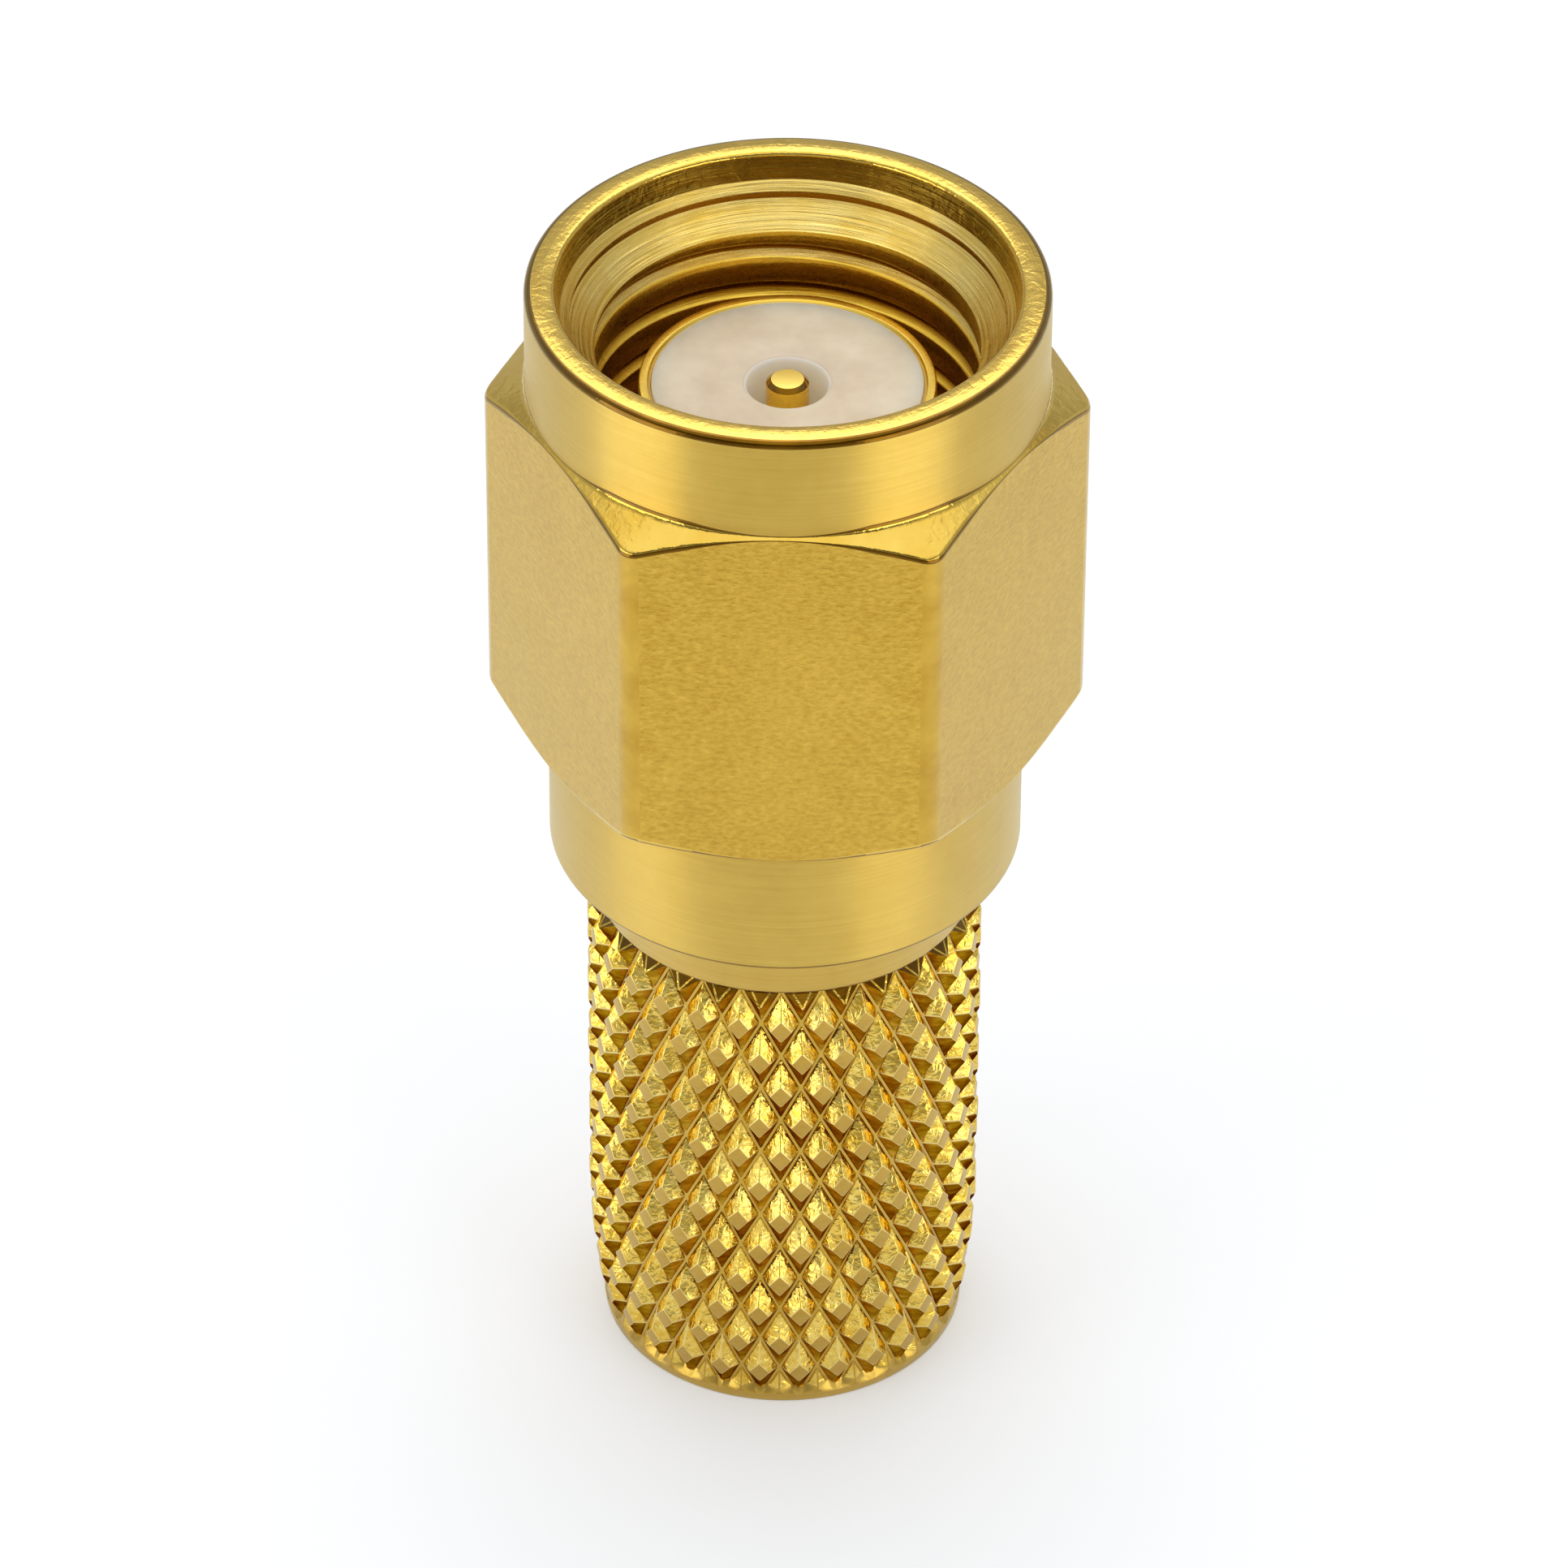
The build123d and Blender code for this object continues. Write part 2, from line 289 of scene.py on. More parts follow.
# Coupling nut
def face_distance(azimuth):
    """Distance from the axis to the hexagon's rounded outline at an azimuth in radians."""
    half = SECTOR / 2
    from_corner = (azimuth - math.radians(NUT_TURN) + half) % SECTOR - half
    corner_centre = (ACROSS_FLATS / 2 - CORNER_ROUND) / math.cos(half)
    tangent_height = corner_centre + CORNER_ROUND * math.cos(half)
    tangent = math.atan2(CORNER_ROUND * math.sin(half), tangent_height)
    if abs(from_corner) < tangent:
        across = corner_centre * math.sin(from_corner)
        return corner_centre * math.cos(from_corner) + math.sqrt(CORNER_ROUND**2 - across**2)
    return ACROSS_FLATS / 2 / math.cos(half - abs(from_corner))


def step_azimuth(step):
    """Azimuth in radians of a turning step, with the steps crowded round the hexagon's corners."""
    sector, place = divmod(step, SECTOR_STEPS)
    if place < CORNER_STEPS:
        inside = -CORNER_SPREAD / 2 + CORNER_SPREAD * place / CORNER_STEPS
    else:
        rest = SECTOR - CORNER_SPREAD
        share = (place - CORNER_STEPS) / (SECTOR_STEPS - CORNER_STEPS)
        inside = CORNER_SPREAD / 2 + rest * share
    return math.radians(NUT_TURN) + sector * SECTOR + inside


def hexagon_section(distance):
    """Outline of the hexagon between rear band and collar, where its face lies at this distance."""
    slope = math.tan(math.radians(CONE_ANGLE))
    front_reach = distance - COLLAR_RADIUS
    rear_reach = distance - ACROSS_FLATS / 2
    front_scale = min(1, front_reach / 0.3)
    rear_scale = min(1, 0.25 + rear_reach / 0.3)
    rear_edge = ACROSS_FLATS / 2 - 0.02
    rear_height = HEXAGON_REAR + (distance - rear_edge) * slope
    front_height = HEXAGON_FRONT - front_reach * slope
    rear_foot = (REAR_BAND_RADIUS, HEXAGON_REAR)
    rear_lip = (rear_edge, HEXAGON_REAR)
    rear_corner = (distance, rear_height)
    front_corner = (distance, front_height)
    collar_foot = (COLLAR_RADIUS, HEXAGON_FRONT)
    collar_up = (COLLAR_RADIUS, HEXAGON_FRONT + 1)
    points = [rear_foot]
    points += corner_arc(rear_foot, rear_lip, rear_corner, 0.06, 4)
    points += corner_arc(rear_lip, rear_corner, front_corner, HEXAGON_EDGE_ROUND * rear_scale, 6)
    front_round = HEXAGON_EDGE_ROUND * front_scale
    points += corner_arc(rear_corner, front_corner, collar_foot, front_round, 6)
    foot_round = COLLAR_FOOT_ROUND * front_scale
    points += corner_arc(front_corner, collar_foot, collar_up, foot_round, 5)
    return points


def thread_plug():
    """The space inside the coupling thread: a threaded plug closed at both ends."""
    crest_end = THREAD_CREST_HALF
    root_start = crest_end + THREAD_FLANK
    rising = [
        (THREAD_CREST, crest_end - 0.025),
        (THREAD_CREST + 0.01, crest_end - 0.006),
        (THREAD_CREST + 0.035, crest_end + 0.008),
        (THREAD_ROOT - 0.03, root_start - 0.017),
        (THREAD_ROOT - 0.006, root_start + 0.008),
        (THREAD_ROOT, root_start + 0.03),
    ]
    falling = [(radius, THREAD_PITCH - height) for radius, height in reversed(rising)]
    pitch_outline = [(THREAD_CREST, 0.025 - crest_end)] + rising + falling[:-1]
    points = []
    for turn in range(THREAD_TURNS):
        for radius, height in pitch_outline:
            points.append((radius * MM, 0, (THREAD_START + turn * THREAD_PITCH + height) * MM))
    edges = [(place, place + 1) for place in range(len(points) - 1)]
    plug = mesh_piece("thread_plug", points, edges, [])
    pick(plug)
    screw = plug.modifiers.new("screw", "SCREW")
    screw.axis = "Z"
    screw.angle = 2 * math.pi
    screw.screw_offset = THREAD_PITCH * MM
    screw.iterations = 1
    screw.steps = 144
    screw.render_steps = 144
    bpy.ops.object.modifier_apply(modifier=screw.name)
    open_for_editing(plug)
    bpy.ops.mesh.select_all(action="SELECT")
    bpy.ops.mesh.remove_doubles(threshold=0.0005 * MM)
    middle = (THREAD_START + (THREAD_TURNS + 1) / 2 * THREAD_PITCH) * MM
    for end in (-1, 1):

        def open_at_end(edge):
            height = (edge.verts[0].co.z + edge.verts[1].co.z) / 2
            return len(edge.link_faces) == 1 and (height - middle) * end > 0

        select_where(plug, "EDGE", open_at_end)
        bpy.ops.mesh.extrude_region_move()
        bpy.ops.mesh.merge(type="CENTER")
        bmesh.update_edit_mesh(plug.data)
    bpy.ops.mesh.select_mode(type="VERT")
    bpy.ops.mesh.select_all(action="SELECT")
    bpy.ops.mesh.normals_make_consistent(inside=False)
    close_editing()
    return plug


def coupling_nut():
    rear_corner_arcs = hexagon_section(ACROSS_FLATS / math.sqrt(3))
    outside = softened(
        [
            (NUT_BORE, NUT_REAR, 0.1),
            (REAR_BAND_RADIUS, NUT_REAR, 0.07),
            (REAR_BAND_RADIUS, NUT_REAR + 1, 0),
        ],
        closed=False,
    )[1:-1]
    rim = softened(
        [
            (COLLAR_RADIUS, HEXAGON_FRONT + 1, 0),
            (COLLAR_RADIUS, NUT_FRONT - 0.02, 0.11),
            (3.65, NUT_FRONT + 0.004, 1.5),
            (RIM_BORE, NUT_FRONT - 0.012, 0.08),
            (RIM_BORE_REAR, NUT_FRONT - 0.45, 0.03),
            (3.262, NUT_FRONT - 0.588, 0.02),
            (LEDGE_RADIUS + 0.012, NUT_FRONT - 0.64, 0.01),
            (LEDGE_RADIUS, NUT_FRONT - 0.71, 0.012),
            (THREAD_BLANK, THREAD_FRONT, 0),
            (THREAD_BLANK, THREAD_REAR, 0),
            (THREAD_RELIEF, THREAD_RELIEF_FRONT, 0),
            (THREAD_RELIEF, THREAD_RELIEF_REAR, 0),
            (NUT_BORE, THREAD_RELIEF_REAR, 0),
            (NUT_BORE, NUT_RELIEF_FRONT, 0),
            (NUT_RELIEF, NUT_RELIEF_FRONT, 0),
            (NUT_RELIEF, NUT_RELIEF_REAR, 0),
            (NUT_BORE, NUT_RELIEF_REAR, 0),
            (NUT_BORE, NUT_REAR + 0.12, 0),
            (NUT_BORE + 0.12, NUT_REAR, 0),
        ],
        closed=False,
    )[1:]
    points = outside + rear_corner_arcs + rim
    nut = turned_piece("coupling_nut_gold", points)
    keys = {}
    for place, (radius, height) in enumerate(rear_corner_arcs):
        keys[(round(radius, 3), round(height, 3))] = place
    step_angle = 2 * math.pi / TURN_STEPS
    sections = {}
    for vertex in nut.data.vertices:
        x, y, z = vertex.co / MM
        radius = math.hypot(x, y)
        step = round((math.atan2(y, x) % (2 * math.pi)) / step_angle) % TURN_STEPS
        azimuth = step_azimuth(step)
        place = keys.get((round(radius, 3), round(z, 3)))
        if place is not None:
            if step not in sections:
                sections[step] = hexagon_section(face_distance(azimuth))
            radius, z = sections[step][place]
        vertex.co = round_axis(radius, azimuth, z)
    cut_away(nut, thread_plug())
    return nut


# Knurled barrel
def knurl_cell():
    """One raised diamond, modelled flat: X round the barrel, Z along it, Y outwards."""
    half_width = math.pi * KNURL_ROOT / KNURL_COUNT
    height = KNURL_RADIUS - KNURL_ROOT
    groove_share = 1 - GROOVE_FLOOR * math.hypot(half_width, ROW_PITCH) / (half_width * ROW_PITCH)
    bpy.ops.mesh.primitive_circle_add(vertices=4, radius=1, fill_type="NGON")
    cell = bpy.context.object
    cell.name = "knurl_cell"
    for vertex in cell.data.vertices:
        x, y, z = vertex.co
        vertex.co = (x * half_width, 0, y * ROW_PITCH)
    open_for_editing(cell)
    bpy.ops.mesh.select_all(action="SELECT")
    rings = (
        (half_width * groove_share, ROW_PITCH * groove_share, 0),
        (LAND_WIDTH / 2, LAND_HEIGHT / 2, height),
    )
    for half_across, half_along, outward in rings:

        def ring_place(place):
            sideways = 0 if abs(place.x) < 1e-6 else math.copysign(half_across, place.x)
            upwards = 0 if abs(place.z) < 1e-6 else math.copysign(half_along, place.z)
            return sideways, outward, upwards

        bpy.ops.mesh.extrude_region_move()
        move_selected(cell, ring_place)

    def lies_on_border(face):
        corners = [vertex.co for vertex in face.verts]
        reaches = [abs(place.x) / half_width + abs(place.z) / ROW_PITCH for place in corners]
        return min(reaches) > 0.999

    # The first face is left behind under the diamond, where the barrel's wall is
    select_where(cell, "FACE", lies_on_border)
    bpy.ops.mesh.delete(type="ONLY_FACE")
    half_height = height / 2
    select_where(cell, "EDGE", lambda edge: max(end.co.y for end in edge.verts) > half_height)
    bpy.ops.mesh.bevel(
        offset=KNURL_BEVEL, offset_type="OFFSET", segments=2, profile=0.5, affect="EDGES"
    )
    bpy.ops.mesh.select_mode(type="VERT")
    close_editing()
    return cell


def ring_out(piece, height, points):
    """Carries the open edge at this height on through a run of (radius, height) rings."""

    def open_at_height(edge):
        near = all(abs(vertex.co.z / MM - height) < 0.001 for vertex in edge.verts)
        return near and len(edge.link_faces) == 1

    select_where(piece, "EDGE", open_at_height)
    for radius, ring_height in points:

        def on_ring(place):
            return round_axis(radius, math.atan2(place.y, place.x), ring_height)

        bpy.ops.mesh.extrude_region_move()
        move_selected(piece, on_ring)


def land_radius(height):
    """Radius of the knurl's lands, which draw in along an arc towards the foot."""
    drop = max(TAPER_START - height, 0)
    return KNURL_RADIUS - drop * drop / (2 * TAPER_RADIUS)


def root_radius(height):
    """Radius of the groove crossings, which follow the lands inwards, but less far."""
    return KNURL_ROOT - ROOT_FOLLOW * (KNURL_RADIUS - land_radius(height))


def knurled_barrel():
    cell = knurl_cell()
    half_width = math.pi * KNURL_ROOT / KNURL_COUNT
    points = []
    faces = []
    draw = random.Random(7)
    cell_points = [vertex.co.copy() for vertex in cell.data.vertices]
    cell_faces = [list(face.vertices) for face in cell.data.polygons]
    for row in KNURL_ROWS:
        for place in range(KNURL_COUNT):
            start = len(points)
            lift = 1 + draw.uniform(-0.04, 0.03)
            lean = draw.uniform(-0.02, 0.02)
            tip = draw.uniform(-0.015, 0.015)
            centre_x = (2 * place + row % 2) * half_width
            centre_z = FIRST_ROW + row * ROW_PITCH
            for point in cell_points:
                outward = point.y * (lift + lean * point.x / half_width + tip * point.z / ROW_PITCH)
                points.append((centre_x + point.x, outward, centre_z + point.z))
            faces += [[start + corner for corner in face] for face in cell_faces]
    bpy.data.objects.remove(cell)
    barrel = mesh_piece("knurled_barrel", points, [], faces)

    # The flat strip is cut at the foot margin, along the foot's slope and along the front chamfer
    open_for_editing(barrel)
    foot_radius = land_radius(FOOT_MARGIN)
    slope_rise = foot_radius - root_radius(FOOT_MARGIN)
    cuts = [
        ((0, 0, FOOT_MARGIN), (0, 0, 1), True, False),
        ((0, 0, FOOT_MARGIN + slope_rise / 3), (0, 0, 1), False, False),
        ((0, 0, FOOT_MARGIN + 2 * slope_rise / 3), (0, 0, 1), False, False),
        ((0, 0, FOOT_MARGIN + slope_rise), (0, 0, 1), False, False),
        ((0, 0, BARREL_TOP), (0, 0, 1), False, True),
        ((0, 0, BARREL_TOP), (0, 1, 1), False, False),
    ]
    for place, normal, clear_inner, clear_outer in cuts:
        bpy.ops.mesh.select_all(action="SELECT")
        bpy.ops.mesh.bisect(
            plane_co=place,
            plane_no=normal,
            clear_inner=clear_inner,
            clear_outer=clear_outer,
            threshold=0.00001,
        )
    bpy.ops.mesh.select_all(action="SELECT")
    bpy.ops.mesh.remove_doubles(threshold=0.001)
    close_editing()
    turn = math.radians(KNURL_TURN)
    for vertex in barrel.data.vertices:
        x, outward, height = vertex.co
        outward = min(outward, max(BARREL_TOP - height, 0))
        relief = (land_radius(height) - root_radius(height)) / (KNURL_RADIUS - KNURL_ROOT)
        azimuth = x / KNURL_ROOT + turn
        radius = root_radius(height) + outward * relief
        radius = max(radius, foot_radius - (height - FOOT_MARGIN))
        vertex.co = round_axis(radius, azimuth, height)
    open_for_editing(barrel)
    bpy.ops.mesh.select_all(action="SELECT")
    bpy.ops.mesh.remove_doubles(threshold=0.001 * MM)
    ring_out(
        barrel,
        FOOT_MARGIN,
        [
            (foot_radius, FOOT_MARGIN - 0.01),
            (foot_radius, FOOT_EDGE),
            (foot_radius - 0.015, 0.015),
            (foot_radius - FOOT_EDGE, 0.0),
            (CABLE_BORE + 0.04, 0.0),
            (CABLE_BORE, 0.04),
            (CABLE_BORE, CABLE_BORE_TOP),
            (CONTACT_HOLE, CABLE_BORE_TOP),
            (CONTACT_HOLE, SPIGOT_TOP),
            (SPIGOT_RADIUS, SPIGOT_TOP),
            (SPIGOT_RADIUS, BARREL_TOP - 0.001),
        ],
    )
    select_where(barrel, "EDGE", lambda edge: len(edge.link_faces) == 1)
    bpy.ops.mesh.bridge_edge_loops()
    bpy.ops.mesh.select_mode(type="VERT")
    bpy.ops.mesh.select_all(action="SELECT")
    bpy.ops.mesh.normals_make_consistent(inside=False)
    close_editing()
    return barrel


# Turned pieces
def plug_body():
    return turned_piece(
        "plug_body_gold",
        softened(
            [
                (SPIGOT_HOLE, BARREL_TOP + 0.001, 0),
                (BODY_RADIUS, BARREL_TOP + 0.001, 0.05),
                (BODY_RADIUS, RING_GROOVE_REAR, 0),
                (RING_GROOVE_RADIUS, RING_GROOVE_REAR, 0),
                (RING_GROOVE_RADIUS, RING_GROOVE_FRONT, 0),
                (BODY_RADIUS, RING_GROOVE_FRONT, 0),
                (BODY_RADIUS, GASKET_SEAT, 0.05),
                (SEAT_RADIUS, GASKET_SEAT, 0),
                (SEAT_RADIUS, SEAT_TOP, 0.04),
                (SLEEVE_RADIUS, SEAT_TOP, 0),
                (SLEEVE_RADIUS, CONTACT_FACE, 0.03),
                (SLEEVE_BORE + 0.05, CONTACT_FACE, 0.008),
                (SLEEVE_BORE, CONTACT_FACE - 0.05, 0.008),
                (SLEEVE_BORE, INSULATOR_STEP, 0),
                (BODY_BORE, INSULATOR_STEP, 0),
                (BODY_BORE, SPIGOT_TOP, 0),
                (SPIGOT_HOLE, SPIGOT_TOP, 0),
            ]
        ),
    )


def dielectric():
    return turned_piece(
        "front_dielectric",
        softened(
            [
                (COLLAR_HOLE, INSULATOR_JOINT, 0),
                (INSULATOR_RADIUS, INSULATOR_JOINT, 0.03),
                (INSULATOR_RADIUS, INSULATOR_STEP, 0.03),
                (INSULATOR_FRONT_RADIUS, INSULATOR_STEP, 0),
                (INSULATOR_FRONT_RADIUS, CONTACT_FACE - 0.01, 0.02),
                (WELL_RADIUS + 0.02, CONTACT_FACE - 0.01, 0.09),
                (WELL_RADIUS, WELL_FLOOR, 0.1),
                (PIN_HOLE, WELL_FLOOR, 0),
                (PIN_HOLE, PIN_FOOT, 0),
                (BARREL_HOLE, PIN_FOOT, 0),
                (BARREL_HOLE, COLLAR_TOP, 0),
                (COLLAR_HOLE, COLLAR_TOP, 0),
            ]
        ),
    )


def centre_contact():
    pin = turned_piece(
        "centre_contact_gold",
        softened(
            [
                (0, PIN_TIP, 0),
                (PIN_RADIUS - 0.075, PIN_TIP, 0.012),
                (PIN_RADIUS, PIN_TIP - 0.06, 0.012),
                (PIN_RADIUS, PIN_FOOT, 0),
                (CONTACT_RADIUS, PIN_FOOT, 0.02),
                (CONTACT_RADIUS, COLLAR_TOP, 0),
                (CONTACT_COLLAR, COLLAR_TOP, 0.02),
                (CONTACT_COLLAR, INSULATOR_JOINT, 0.02),
                (CONTACT_RADIUS, INSULATOR_JOINT, 0),
                (CONTACT_RADIUS, CONTACT_REAR, 0.04),
                (SOLDER_CUP_RADIUS, CONTACT_REAR, 0.03),
                (SOLDER_CUP_RADIUS, SOLDER_CUP_TOP, 0.1),
                (0, SOLDER_CUP_TOP, 0),
            ],
            closed=False,
        ),
        closed=False,
        steps=96,
    )
    bpy.ops.mesh.primitive_cylinder_add(
        vertices=40,
        radius=SOLDER_WINDOW_RADIUS * MM,
        depth=1.6 * MM,
        location=(0, -0.8 * MM, SOLDER_WINDOW_HEIGHT * MM),
        rotation=(math.pi / 2, 0, 0),
    )
    cut_away(pin, bpy.context.object)
    return pin


def sealing_ring():
    return turned_piece(
        "mating_gasket",
        softened(
            [
                (GASKET_BORE, GASKET_SEAT, 0.08),
                (GASKET_RADIUS, GASKET_SEAT, 0.08),
                (GASKET_RADIUS, GASKET_SEAT + GASKET_HEIGHT, 0.16),
                (GASKET_BORE, GASKET_SEAT + GASKET_HEIGHT, 0.16),
            ]
        ),
        steps=144,
    )


nut = coupling_nut()
barrel = knurled_barrel()
body = plug_body()
dielectric_piece = dielectric()
contact = centre_contact()
gasket = sealing_ring()
for piece in (nut, barrel, body, dielectric_piece, contact, gasket):
    smooth(piece)


# Shader groups
def node(tree, kind, values=None, **settings):
    """A node with these settings. Each input's value is a number or another node's output."""
    made = tree.nodes.new(kind)
    for label, value in settings.items():
        setattr(made, label, value)
    for label, value in (values or {}).items():
        if isinstance(value, bpy.types.NodeSocket):
            tree.links.new(value, made.inputs[label])
        else:
            made.inputs[label].default_value = value
    return made


def maths(tree, operation, first, second):
    return node(tree, "ShaderNodeMath", {0: first, 1: second}, operation=operation).outputs[0]


def object_millimetres(tree):
    """Object coordinates in millimetres."""
    place = node(tree, "ShaderNodeTexCoord").outputs["Object"]
    values = {0: place, 1: (1000, 1000, 1000)}
    return node(tree, "ShaderNodeVectorMath", values, operation="MULTIPLY").outputs[0]


def new_group(name, inputs, outputs):
    """A group with these sockets, and the nodes that its values enter and leave by."""
    group = bpy.data.node_groups.new(name, "ShaderNodeTree")
    for label, kind, value in inputs:
        socket = group.interface.new_socket(label, in_out="INPUT", socket_type=kind)
        socket.default_value = value
    for label, kind in outputs:
        group.interface.new_socket(label, in_out="OUTPUT", socket_type=kind)
    return group, node(group, "NodeGroupInput").outputs, node(group, "NodeGroupOutput").inputs


def turning_lines_group():
    """Fine lines that a lathe tool leaves round the axis."""
    group, enter, leave = new_group(
        "turning_lines",
        [("Lines per mm", "NodeSocketFloat", 20.0), ("Break up", "NodeSocketFloat", 0.4)],
        [("Height", "NodeSocketFloat")],
    )
    x, y, z = node(group, "ShaderNodeSeparateXYZ", {0: object_millimetres(group)}).outputs
    flat = node(group, "ShaderNodeCombineXYZ", {0: x, 1: y})
    radius = node(group, "ShaderNodeVectorMath", {0: flat.outputs[0]}, operation="LENGTH")
    across = maths(group, "ADD", radius.outputs["Value"], z)
    values = {
        0: maths(group, "MULTIPLY", x, enter["Break up"]),
        1: maths(group, "MULTIPLY", y, enter["Break up"]),
        2: maths(group, "MULTIPLY", across, enter["Lines per mm"]),
    }
    place = node(group, "ShaderNodeCombineXYZ", values).outputs[0]
    values = {"Vector": place, "Scale": 1.0, "Detail": 3.0, "Roughness": 0.65}
    lines = node(group, "ShaderNodeTexNoise", values)
    group.links.new(lines.outputs[0], leave["Height"])
    return group


def satin_tooth_group():
    """Fine isotropic tooth of a tumbled and plated surface, with slow drift under it."""
    group, enter, leave = new_group(
        "satin_tooth",
        [("Grains per mm", "NodeSocketFloat", 16.0), ("Drift per mm", "NodeSocketFloat", 0.8)],
        [("Height", "NodeSocketFloat"), ("Drift", "NodeSocketFloat")],
    )
    place = object_millimetres(group)
    values = {0: place, 1: (0.5, 0.5, 1)}
    stretched = node(group, "ShaderNodeVectorMath", values, operation="MULTIPLY").outputs[0]
    for vector, scale, detail, label in (
        (stretched, enter["Grains per mm"], 3.0, "Height"),
        (place, enter["Drift per mm"], 4.0, "Drift"),
    ):
        values = {"Vector": vector, "Scale": scale, "Detail": detail, "Roughness": 0.6}
        noise = node(group, "ShaderNodeTexNoise", values)
        group.links.new(noise.outputs[0], leave[label])
    return group


def ripple_group():
    """Shallow ripples of plating over a bright cut surface."""
    group, enter, leave = new_group(
        "plating_ripple",
        [("Ripples per mm", "NodeSocketFloat", 4.0)],
        [("Height", "NodeSocketFloat")],
    )
    values = {"Detail": 2.0, "Roughness": 0.5, "Distortion": 0.6}
    values.update({"Vector": object_millimetres(group), "Scale": enter["Ripples per mm"]})
    ripple = node(group, "ShaderNodeTexNoise", values)
    group.links.new(ripple.outputs[0], leave["Height"])
    return group


def two_tone_group():
    """Two tones of one colour, mixed by a mask."""
    group, enter, leave = new_group(
        "two_tone",
        [
            ("Deep", "NodeSocketColor", (0.7, 0.45, 0.08, 1)),
            ("Pale", "NodeSocketColor", (0.8, 0.55, 0.12, 1)),
            ("Mask", "NodeSocketFloat", 0.5),
            ("Contrast", "NodeSocketFloat", 2.5),
        ],
        [("Colour", "NodeSocketColor")],
    )
    centred = maths(group, "SUBTRACT", enter["Mask"], 0.5)
    spread = maths(group, "MULTIPLY", centred, enter["Contrast"])
    mask = node(group, "ShaderNodeMath", {0: spread, 1: 0.5}, operation="ADD", use_clamp=True)
    values = {"Factor": mask.outputs[0], 6: enter["Deep"], 7: enter["Pale"]}
    mix = node(group, "ShaderNodeMix", values, data_type="RGBA")
    group.links.new(mix.outputs[2], leave["Colour"])
    return group


def groove_shade_group():
    """Painted shade: darkens a colour towards the bottom of grooves cut round the axis, by radius,
    where shade falls in them.
    """
    group, enter, leave = new_group(
        "groove_painted_shade",
        [
            ("Colour", "NodeSocketColor", (0.8, 0.5, 0.1, 1)),
            ("Bottom", "NodeSocketFloat", 2.87),
            ("Top", "NodeSocketFloat", 3.09),
            ("Deep", "NodeSocketFloat", 0.4),
        ],
        [("Colour", "NodeSocketColor")],
    )
    place = object_millimetres(group)
    across = node(group, "ShaderNodeVectorMath", {0: place, 1: (1, 1, 0)}, operation="MULTIPLY")
    radius = node(group, "ShaderNodeVectorMath", {0: across.outputs[0]}, operation="LENGTH")
    height = node(group, "ShaderNodeSeparateXYZ", {0: place}).outputs[2]
    drop = maths(group, "MAXIMUM", maths(group, "SUBTRACT", TAPER_START, height), 0.0)
    drop_squared = maths(group, "MULTIPLY", drop, drop)
    drawn_in = maths(group, "MULTIPLY", drop_squared, ROOT_FOLLOW / (2 * TAPER_RADIUS))
    values = {
        "Value": maths(group, "ADD", radius.outputs["Value"], drawn_in),
        "From Min": enter["Bottom"],
        "From Max": enter["Top"],
        "To Min": enter["Deep"],
        "To Max": 1.0,
    }
    level = node(group, "ShaderNodeMapRange", values, interpolation_type="SMOOTHSTEP")
    green = level.outputs["Result"]
    values = {0: maths(group, "POWER", green, 0.7), 1: green, 2: maths(group, "POWER", green, 1.8)}
    warm = node(group, "ShaderNodeCombineXYZ", values)
    values = {0: enter["Colour"], 1: warm.outputs[0]}
    deepened = node(group, "ShaderNodeVectorMath", values, operation="MULTIPLY")
    group.links.new(deepened.outputs[0], leave["Colour"])
    return group


TURNING_LINES = turning_lines_group()
SATIN_TOOTH = satin_tooth_group()
RIPPLE = ripple_group()
TWO_TONE = two_tone_group()
GROOVE_SHADE = groove_shade_group()
# Painted reflections: pale and warm tones that plates take on where they are seen at a low angle.
PAINTED_PALE_REFLECTION = (0.86, 0.70, 0.31, 1)
PAINTED_WARM_REFLECTION = (0.88, 0.62, 0.13, 1)


def use_group(tree, group, values):
    return node(tree, "ShaderNodeGroup", values, node_tree=group).outputs


def drifting(tree, source, centre, spread):
    """A value that drifts round a centre as a mask goes from nought to one."""
    drift = maths(tree, "MULTIPLY", maths(tree, "SUBTRACT", source, 0.5), spread)
    return maths(tree, "ADD", drift, centre)


def empty_nodes(owner):
    owner.use_nodes = True
    owner.node_tree.nodes.clear()
    return owner.node_tree


def new_material(name):
    material = bpy.data.materials.new(name)
    return material, empty_nodes(material)


def add_surface(tree, values):
    """Gives a material a surface with these values."""
    shader = node(tree, "ShaderNodeBsdfPrincipled", values)
    node(tree, "ShaderNodeOutputMaterial", {0: shader.outputs[0]})


